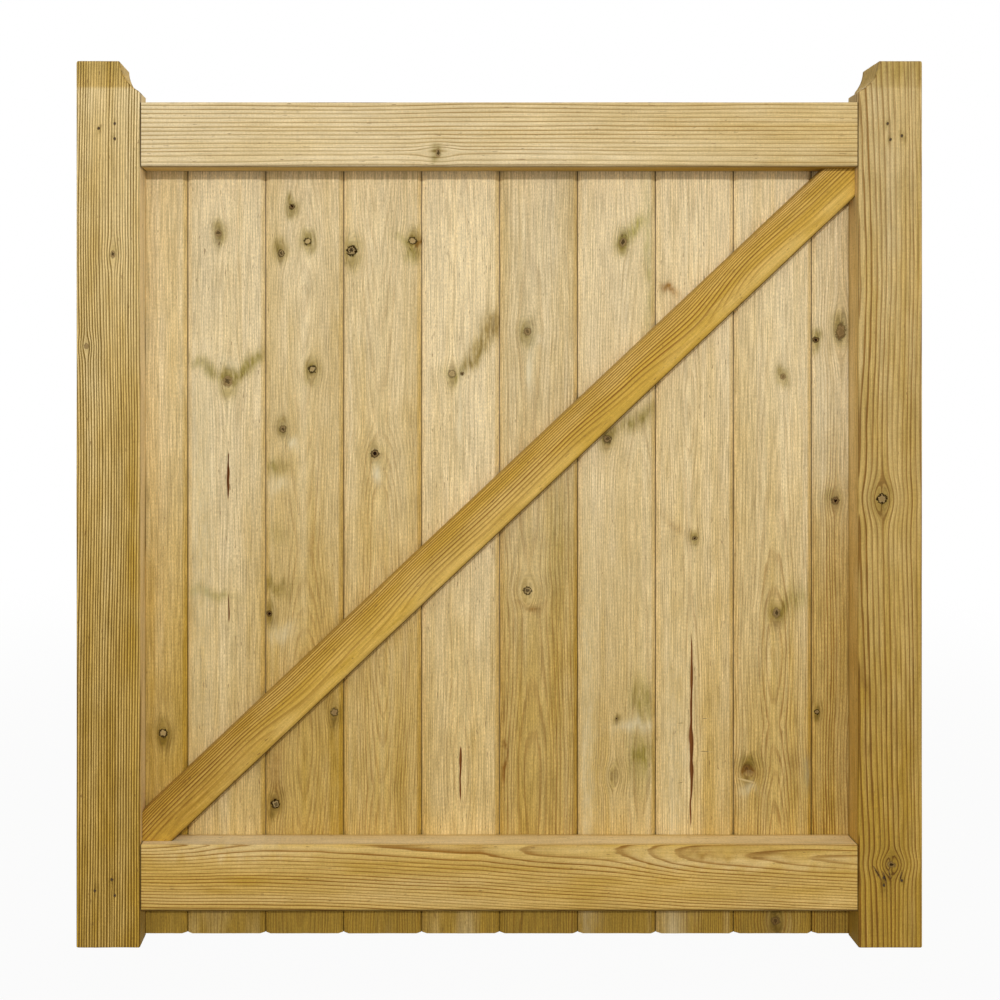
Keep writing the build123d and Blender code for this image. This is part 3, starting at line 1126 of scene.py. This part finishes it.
def stiles():
    """The two uprights."""
    hinge = stile(
        "hinge_stile", 1,
        grain=Grain(-260, [(0, 40), (944, 40)], 2.95, (1.45, 0.80), lean=9, seed=3, fray=0.08),
        ripe=(0.95, 0.28), shade=1.19, flank=(-0.50, 1.08), late_colour=STRONG_LINES, late_start=0.52,
        knots=[
            Knot(39, 738, 2.6, 1.6, rim=0.3, halo=0.3),
            Knot(11, 640, 2.5, 1.2, core=0.2, rim=0.4, halo=0.2),
        ],
        patches=[
            Patch(24, 940, 70, 16, olive=0.30),
            Patch(62, 430, 260, 7, 90, ripe=0.25),
            Patch(30, 200, 180, 40, 90, brown=0.03),
        ],
    )
    pith_depth = [(0, 40), (90, 42), (290, 48), (425, 54), (480, 55), (700, 45), (944, 55)]
    latch = stile(
        "latch_stile", -1,
        grain=Grain(822, pith_depth, 4.6, (0.85, 0.66), seed=5, fray=0.12),
        ripe=(1.0, 0.40), shade=0.92, flank=(-0.18, 1.42), late_colour=(0.42, 0.30, 0.14),
        knots=[
            Knot(857, 478, 5.2, core=0.25, rim=1.0, body=0.5, flow=2.2, halo=0.5),
            Knot(867, 89, 4.4, 0.7, 20, core=0.9, rim=0.35, body=0.7, flow=3.0, halo=0.4, fill=0.5),
            Knot(852, 80, 1.2, 6.5, -30, rim=0.4, body=0.9, flow=0.5, halo=0.15),
            Knot(860, 75, 1.1, 5.5, -18, core=0.9, rim=0.4, body=0.9, flow=0.3, halo=0.15),
            Knot(865, 79, 0.8, 6.0, -12, rim=0.3, body=0.9, flow=0.3, halo=0.1),
            Knot(877, 76, 0.9, 6.5, 10, rim=0.4, body=0.9, flow=0.3, halo=0.1),
        ],
        patches=[
            Patch(876, 936, 70, 18, ripe=0.15, olive=0.30),
            Patch(838, 288, 26, 4.5, -75, brown=0.40),
            Patch(840, 212, 14, 4.0, -75, brown=0.35),
        ],
    )
    return [hinge, latch]


def tenons(rail):
    """The two tenons of a rail, which lie unseen in the stiles."""
    low, high = rail
    section = [
        (low + TENON_SHOULDER, TENON_FRONT),
        (high - TENON_SHOULDER, TENON_FRONT),
        (high - TENON_SHOULDER, TENON_BACK),
        (low + TENON_SHOULDER, TENON_BACK),
    ]
    return [
        (section, OPENING[0] - TENON_LENGTH, OPENING[0] + 1),
        (section, OPENING[1] - 1, OPENING[1] + TENON_LENGTH),
    ]


def rail(node, section, heights, start, end, **looks):
    """A rail of that section between two heights, with its tenons."""
    return Timber(
        node, "rail_timber", section, start, end,
        axes=LEVEL, tenons=tenons(heights), fibre=RAIL_FIBRE, end_round=0.2, **looks,
    )


def rails():
    """The top and bottom rail."""
    shoulders = (OPENING[0] + SHOULDER_GAP, OPENING[1] - SHOULDER_GAP)
    top = rail(
        "top_rail", top_rail_section(), TOP_RAIL, OPENING[0] - REBATE_WIDTH, OPENING[1] + REBATE_WIDTH,
        grain=Grain(1010, [(60, 60), (840, 60)], 4.4, (1.0, 1.0), seed=7, wander=2.0, fray=0.06),
        ripe=(-0.06, 0.36), shade=1.02, flank=(0.60, 1.12), late_colour=(0.50, 0.40, 0.21), late_start=0.72,
        under_edge=0.55, shoulders=shoulders,
        knots=[Knot(385, 846, 2.6, 1.8, rim=0.2, flow=2.2)],
        patches=[Patch(740, 866, 170, 60, ripe=0.12)],
    )
    pith_depth = [(60, 42), (150, 53), (260, 59), (430, 60), (620, 50), (760, 42), (840, 38)]
    bottom = rail(
        "bottom_rail", plain_section(*BOTTOM_RAIL, FRONT, EASED_EDGE), BOTTOM_RAIL, *shoulders,
        grain=Grain(
            110, pith_depth, 3.1, (1.05, 0.95), lean=-45, seed=9, wander=1.5, fray=0.08, over_pith=0.55,
        ),
        ripe=(0.76, 0.74), shade=1.15, flank=(-0.56, 1.02), late_colour=(0.44, 0.30, 0.13), late_start=0.68,
        under_edge=1.0,
        patches=[
            Patch(672, 101, 26, 5, brown=0.55),
            Patch(738, 101, 26, 5, brown=0.55),
            Patch(700, 92, 150, 8, ripe=-0.25),
            Patch(150, 104, 90, 8, ripe=-0.35),
        ],
    )
    return [top, bottom]


def brace():
    """The diagonal, cut two ways into both corners."""
    run = OPENING[1] - OPENING[0]
    rise = TOP_RAIL[0] - BOTTOM_RAIL[1]
    slope = atan2(rise, run)
    half = hypot(run, rise) / 2 + BRACE_WIDTH
    section = plain_section(-BRACE_WIDTH / 2, BRACE_WIDTH / 2, BRACE_FACE, BRACE_EDGE)
    return Timber(
        "brace", "brace_timber", section, -half, half,
        grain=Grain(
            -17, [(-600, 64), (600, 58)], 1.5, (1.5, 1.3), seed=13, wander=0.8, fray=0.05, over_pith=0.0,
        ),
        ripe=(1.08, 0.95), shade=1.22, flank=(-0.1, 0.85), late_colour=(0.40, 0.26, 0.09),
        under_edge=0.9, fibre=RAIL_FIBRE,
        patches=[Patch(110, 140, 130, 60, 45, brown=0.34), Patch(480, 500, 330, 60, 45, ripe=-0.08)],
        axes=((-sin(slope), cos(slope)), (cos(slope), sin(slope))),
        middle=((OPENING[0] + OPENING[1]) / 2, (BOTTOM_RAIL[1] + TOP_RAIL[0]) / 2),
        cuts=[
            (OPENING[0], 0, (-1, 0)),
            (OPENING[1], 0, (1, 0)),
            (0, BOTTOM_RAIL[1], (0, -1)),
            (0, TOP_RAIL[0], (0, 1)),
        ],
    )


def split(x, height, half_length, tilt):
    """A hairline split, drawn as a very long and thin dark knot."""
    half_width = 0.5
    longer = half_length / half_width
    return Knot(x, height, half_width, longer, tilt, core=0.85, rim=0.0, body=0.0, flow=0.0, halo=0.0)


# Each board's rings, as the first four values of its grain, with its ripeness and shade
BOARD_WOOD = [
    ((40, [(0, 30), (842, 44)], 2.8, (0.30, 0.20)), (0.92, 0.18), 0.97),
    ((158, [(0, 14), (842, 22)], 2.1, (0.30, 0.16)), (0.55, -0.02), 0.98),
    ((240, [(0, 22), (200, 12), (420, 26), (700, 12), (842, 26)], 2.6, (0.42, 0.20)), (0.85, 0.16), 0.97),
    ((323, [(0, 8), (160, 18), (300, 9), (560, 30), (842, 14)], 2.7, (0.45, 0.20)), (0.74, 0.12), 0.99),
    ((412, [(0, 20), (842, 26)], 2.0, (0.34, 0.20)), (0.55, -0.03), 1.03),
    ((486, [(0, 18), (375, 26), (842, 24)], 2.9, (0.60, 0.26)), (0.82, 0.12), 0.92),
    ((606, [(0, 18), (842, 30)], 2.3, (0.36, 0.24)), (0.58, 0.04), 0.99),
    ((661, [(0, 8), (842, 12)], 2.1, (0.46, 0.26)), (0.52, 0.03), 1.03),
    (
        (752, [(0, 10), (110, 7), (230, 18), (310, 15), (430, 22), (842, 34)], 2.8, (0.62, 0.10)),
        (0.72, 0.05), 0.98,
    ),
    ((842, [(0, 14), (842, 22)], 2.8, (0.90, 0.36)), (0.96, 0.16), 0.91),
]

# Marks on the boards, board by board from the left; each goes to the board that it lies on
BOARD_KNOTS = [
    Knot(87, 220, 4.4, core=0.1, rim=0.95, body=0.35),
    Knot(147, 764, 3.8, tilt=40, core=0.7, rim=0.3),
    Knot(157, 603, 5.0, 1.2, core=0.7, rim=0.3),
    Knot(227, 793, 3.0, core=1.0, rim=0.7, body=0.9),
    Knot(244, 755, 3.6, core=0.1, rim=0.9, body=0.1),
    Knot(215, 742, 3.6, body=0.4),
    Knot(249, 616, 4.0, core=0.2, rim=0.9, body=0.2),
    Knot(217, 551, 3.8, rim=0.6),
    Knot(202, 350, 3.2, core=1.0, rim=0.7, body=0.9),
    Knot(273, 243, 4.0, core=0.2, rim=0.7),
    Knot(209, 143, 4.4, core=0.75, rim=1.0, body=0.2),
    Knot(292, 745, 5.2, core=0.9, rim=1.0, body=0.3),
    Knot(358, 756, 4.6, 0.8, core=0.1, rim=0.9, body=0.2),
    Knot(317, 524, 4.2, core=1.0, body=0.8, halo=0.4),
    Knot(401, 611, 4.0, core=0.3, rim=0.55, body=0.1, halo=0.35),
    Knot(412, 611, 2.0, core=1.0, rim=0.7, halo=0.3),
    Knot(483, 657, 4.2, core=0.6, rim=0.5),
    Knot(483, 375, 4.2, rim=0.9, body=0.2, flow=2.6, halo=0.25),
    Knot(587, 754, 4.0, 1.2, rim=0.4),
    Knot(570, 540, 4.2, core=0.7, rim=0.7),
    Knot(580, 236, 1.6, core=0.9, rim=0.3),
    Knot(577, 173, 4.0, core=0.1, rim=0.08, body=0.3, fill=0.2, flow=1.8, halo=0.5),
    Knot(665, 432, 2.6, core=1.0, rim=0.6),
    split(650, 231, 5, 86),
    split(649, 166, 5, 80),
    split(676, 200, 9, 91),
    split(676, 236, 6, 86),
    Knot(761, 608, 3.0, core=0.5, rim=0.4),
    Knot(754, 351, 4.0, 1.3, rim=0.4),
    Knot(724, 177, 4.6, 0.8, core=0.0, rim=0.0, body=0.35, halo=0.5, fill=0.25, flow=1.8),
    # painted highlight: a pale streak along a torn ridge, drawn as a knot filled with pale knot wood
    Knot(721, 168.5, 1.1, 8.5, 104, core=0.0, rim=0.0, body=0.0, flow=0.0, halo=0.0, fill=0.9),
    Knot(753, 16, 4.6, core=0.6, rim=0.5, body=0.9, fill=0.6, flow=2.0),
    Knot(797, 648, 3.0, core=1.0, body=0.9),
    Knot(824, 657, 5.0, 1.8, 8, core=0.3, rim=0.55, body=0.7, flow=2.0),
    Knot(818, 473, 4.0, core=1.0, rim=0.6, body=0.8, halo=0.4),
    Knot(798, 243, 2.4, core=0.3, rim=1.0),
]
BOARD_PATCHES = [
    Patch(134, 617, 20, 6, -30, olive=0.9, brown=0.3),
    Patch(180, 620, 22, 8, 35, olive=1.0, brown=0.3),
    Patch(158, 624, 10, 7, pale=0.3),
    Patch(135, 372, 26, 6, -15, olive=0.7),
    Patch(128, 460, 180, 14, 90, pale=0.25),
    Patch(190, 300, 220, 10, 90, ripe=0.15),
    Patch(207, 510, 14, 8, olive=0.7, brown=0.15),
    Patch(208, 378, 16, 9, olive=0.8, brown=0.3),
    # painted highlight: whitish streaks beside the knot
    Patch(227, 536, 9, 3.2, -70, pale=0.55),
    Patch(211, 492, 13, 8, pale=0.35),
    Patch(216, 330, 16, 10, pale=0.35),
    Patch(209, 436, 13, 14, olive=0.35),
    Patch(209, 172, 30, 7, 90, brown=0.45),
    Patch(364, 757, 7, 3, brown=1.0),
    Patch(320, 501, 13, 3, 88, pale=0.5),
    Patch(356, 740, 9, 8, olive=0.6),
    Patch(345, 758, 10, 4, -20, olive=0.5),
    Patch(446, 664, 20, 12, 56, olive=0.55, brown=0.55),
    Patch(431, 640, 19, 7.5, 54, olive=0.65, brown=0.5),
    Patch(418, 621, 11, 4.5, 45, olive=0.5, brown=0.4),
    Patch(399, 611, 9, 6, olive=0.5),
    Patch(410, 560, 50, 3, 90, pale=0.4),
    Patch(487, 358, 14, 4, brown=0.7),
    Patch(486, 612, 22, 3, 90, pale=0.6),
    Patch(494, 646, 8, 5, ripe=-0.3),
    Patch(514, 430, 70, 14, 90, olive=0.35),
    Patch(458, 172, 62, 1.3, 90, brown=1.3),
    Patch(490, 250, 120, 50, 90, ripe=0.12),
    Patch(600, 768, 16, 6, 50, olive=0.8),
    Patch(615, 720, 90, 5, 90, olive=0.5),
    Patch(606, 256, 13, 22, olive=0.8, brown=0.1),
    Patch(607, 190, 14, 26, olive=0.9, brown=0.1),
    Patch(600, 228, 22, 7, pale=0.4),
    Patch(604, 564, 28, 9, 32, olive=0.7, brown=0.25),
    Patch(548, 200, 240, 12, 90, pale=0.22),
    Patch(636, 702, 13, 3.5, -45, brown=1.0),
    Patch(641, 448, 20, 3.5, -40, brown=0.35),
    Patch(642, 160, 200, 14, 90, pale=0.2, ripe=-0.1),
    Patch(684, 170, 220, 16, 90, ripe=0.22),
    Patch(772, 364, 16, 14, 30, olive=0.6),
    Patch(723, 179, 9, 4.5, -10, brown=1.1),
    # painted highlight: a soft pale glow below the streak
    Patch(724, 160, 11, 5, -8, pale=0.3),
    Patch(724, 190, 13, 8, olive=0.5, brown=0.2),
    Patch(787, 176, 16, 5, 90, olive=0.9, pale=0.25),
    Patch(776, 190, 8, 12, brown=0.3),
    Patch(812, 476, 10, 6, olive=0.35),
    Patch(822, 570, 95, 40, 90, ripe=-0.30, pale=0.12),
    Patch(822, 320, 120, 40, 90, ripe=0.05),
]
BOARD_CRACKS = [
    Crack(158, [(474, 526, 1.7, 3.2), (340, 372, 0.9, 1.8)], 1),
    Crack(410, [(146, 206, 2.0, 1.4)], 3),
    Crack(661, [(118, 330, 1.9, 1.6), (150, 240, 3.4, 2.2)], 5),
]


def boards():
    """The ten matchboards, each with the marks that lie on it."""
    made = []
    for number, (rings, ripe, shade) in enumerate(BOARD_WOOD, 1):
        node = f"board_{number:02d}"
        low, high = span(node, 0)
        knots, patches, cracks = [
            [mark for mark in marks if low <= mark.x < high - TONGUE_LENGTH]
            for marks in (BOARD_KNOTS, BOARD_PATCHES, BOARD_CRACKS)
        ]
        made.append(Timber(
            node, "board_timber", board_section(number, len(BOARD_WOOD)), BOARD_FOOT, BOARD_TOP,
            Grain(*rings, seed=20 + number), ripe, shade, knots=knots, patches=patches, cracks=cracks,
            end_round=0.4, matched=True, fibre=BOARD_FIBRE,
        ))
    return made


# Pins through the tenons, and nails through the back of the boards


def metal(name, clean, tarnished):
    """Dull wire nails, tarnished in spots."""
    graph = Graph(bpy.data.materials.new(name))
    place = graph.object_place()
    spots = graph.spread(graph.noise(place, (1.6, 1.6, 1.6), 2.0), 0.40, 0.62)
    inputs = {
        "Base Color": graph.mix(spots, clean, tarnished),
        "Metallic": graph.spread(spots, 0, 1, 0.8, 0.2),
        "Roughness": graph.spread(spots, 0, 1, 0.42, 0.8),
    }
    return graph.surface(inputs, graph.noise(place, (0.5, 0.5, 0.5), 2.0), 0.0002)


def heads(name, places, radius, rise, facing, colours):
    """Low domed heads at places of x, depth and height, that face -1 to the front or 1 to the back."""
    corners = 12
    profile = ((1.0, -2.0), (1.0, 0.25), (0.85, 0.75), (0.45, 1.0))     # in radii, and in rises
    random = np.random.default_rng(7)
    vertices, faces = [], []
    for x, depth, height in places:
        first = len(vertices)
        size = radius * random.uniform(0.92, 1.06)
        turned = random.uniform(0, 1)
        for share, lift in profile:
            for corner in range(corners):
                turn = radians(360 * corner / corners) + turned
                right, up = size * share * cos(turn), size * share * sin(turn)
                vertices.append((x + right, depth + facing * rise * lift, height + up))
        faces.append(range(first, first + corners))
        for ring in range(len(profile) - 1):
            faces += band(first + ring * corners, corners)
        faces.append(range(len(vertices) - corners, len(vertices)))
    shape = bmesh.new()
    fill(shape, np.array(vertices), faces)
    bmesh.ops.recalc_face_normals(shape, faces=shape.faces[:])
    finished(as_mesh(shape, name), HEAD_SHARP_ANGLE, metal(name, *colours))


def nail_places(diagonal):
    """Two nails a board into each rail and into the brace, a little out of line as they were driven."""
    random = np.random.default_rng(11)
    slope = diagonal.axes[1][1] / diagonal.axes[1][0]
    middle_x, middle_height = diagonal.middle
    places = []
    for number in range(1, len(BOARD_WOOD) + 1):
        low, high = span(f"board_{number:02d}", 0)
        low = max(low, OPENING[0] - REBATE_WIDTH)
        high = min(high - TONGUE_LENGTH, OPENING[1] + REBATE_WIDTH)
        inset = 0.26 * (high - low)
        for x, step in ((low + inset, -1), (high - inset, 1)):
            in_bottom_rail = BOTTOM_RAIL[0] + 36 + 11 * step
            in_brace = middle_height + slope * (x - middle_x) + 7 * step
            in_top_rail = BOARD_TOP - 5.5
            for height in (in_bottom_rail, in_brace, in_top_rail):
                places.append((x + random.uniform(-2, 2), BOARD_BACK, height + random.uniform(-0.8, 0.8)))
    return places


def fixings(diagonal):
    """All pins and nails."""
    pins = [(x, FRONT + 0.08, height) for x, height in TENON_PINS]
    heads("tenon_pins", pins, radius=0.95, rise=0.08, facing=-1, colours=PIN_COLOURS)
    nails = [place for place in nail_places(diagonal) if BOTTOM_RAIL[0] < place[2] < BOARD_TOP]
    heads("board_nails", nails, radius=2.3, rise=0.4, facing=1, colours=NAIL_COLOURS)


# Floor, light and camera


def staged_material(name, colour):
    """White to the camera, with what light and shadow fall on it showing through a little."""
    graph = Graph(bpy.data.materials.new(name))
    distance = graph.vector("LENGTH", graph.object_place(), output="Value")
    whiteness = graph.spread(distance, 0.8, 2.6, 0.955, 1.0, "SMOOTHSTEP")
    seen = graph.rays("Is Camera Ray", "Is Glossy Ray", "Is Transmission Ray")
    lit = graph.add("ShaderNodeBsdfDiffuse", {"Color": colour}).outputs[0]
    glow = graph.add("ShaderNodeEmission", {"Color": WHITE, "Strength": 1.0}).outputs[0]
    return graph.end(graph.add("ShaderNodeMixShader", [graph.times(seen, whiteness), lit, glow]))


def floor():
    """A plain pale floor under the foot of the stiles."""
    half = 14.0
    mesh = bpy.data.meshes.new("floor")
    corners = [(-half, -half, 0), (half, -half, 0), (half, half, 0), (-half, half, 0)]
    mesh.from_pydata(corners, [], [(0, 1, 2, 3)])
    mesh.materials.append(staged_material("floor_white", FLOOR_COLOUR))
    made = linked("floor", mesh)
    made.location = (GATE_WIDTH / 2 / METRE, 0, FOOT / METRE - 0.0005)


def world():
    """Soft warm light from all round, and white behind the gate."""
    graph = Graph(bpy.data.worlds.new("studio"))
    seen = graph.rays("Is Camera Ray", "Is Transmission Ray")
    inputs = {
        "Color": graph.mix(seen, AMBIENT_COLOUR, WHITE),
        "Strength": graph.spread(seen, 0, 1, AMBIENT, 1.0),
    }
    background = graph.add("ShaderNodeBackground", inputs)
    bpy.context.scene.world = graph.end(background, "ShaderNodeOutputWorld")


def lights():
    """A far, small key lamp above and to the right, a wide lamp at either side, and two behind."""
    middle = Vector((GATE_WIDTH / 2 / METRE, 0, 0))
    for name, place, width, power, colour in LAMPS:
        data = bpy.data.lights.new(name, "AREA")
        data.shape = "SQUARE"
        data.size = width
        data.energy = power
        data.color = colour
        lamp = linked(name, data)
        lamp.location = place
        lamp.rotation_euler = (middle - Vector(place)).to_track_quat("-Z", "Y").to_euler()


def camera():
    """Level camera, square to the gate and off its centre, with the lens shifted to frame it."""
    data = bpy.data.cameras.new("camera")
    data.sensor_width = SENSOR_WIDTH
    data.lens = LENS
    data.shift_x = SHIFT_X
    data.shift_y = SHIFT_Y
    data.clip_end = 100.0
    made = linked("camera", data)
    made.location = gate_to_row(np.array([CAMERA_X, FRONT - CAMERA_DISTANCE, CAMERA_HEIGHT]))
    made.rotation_euler = (radians(90), 0, 0)
    bpy.context.scene.camera = made


camera()
world()
lights()
floor()
diagonal = brace()
for timber in [*stiles(), *rails(), diagonal, *boards()]:
    timber_object(timber)
fixings(diagonal)

bpy.context.scene.view_settings.view_transform = "Standard"
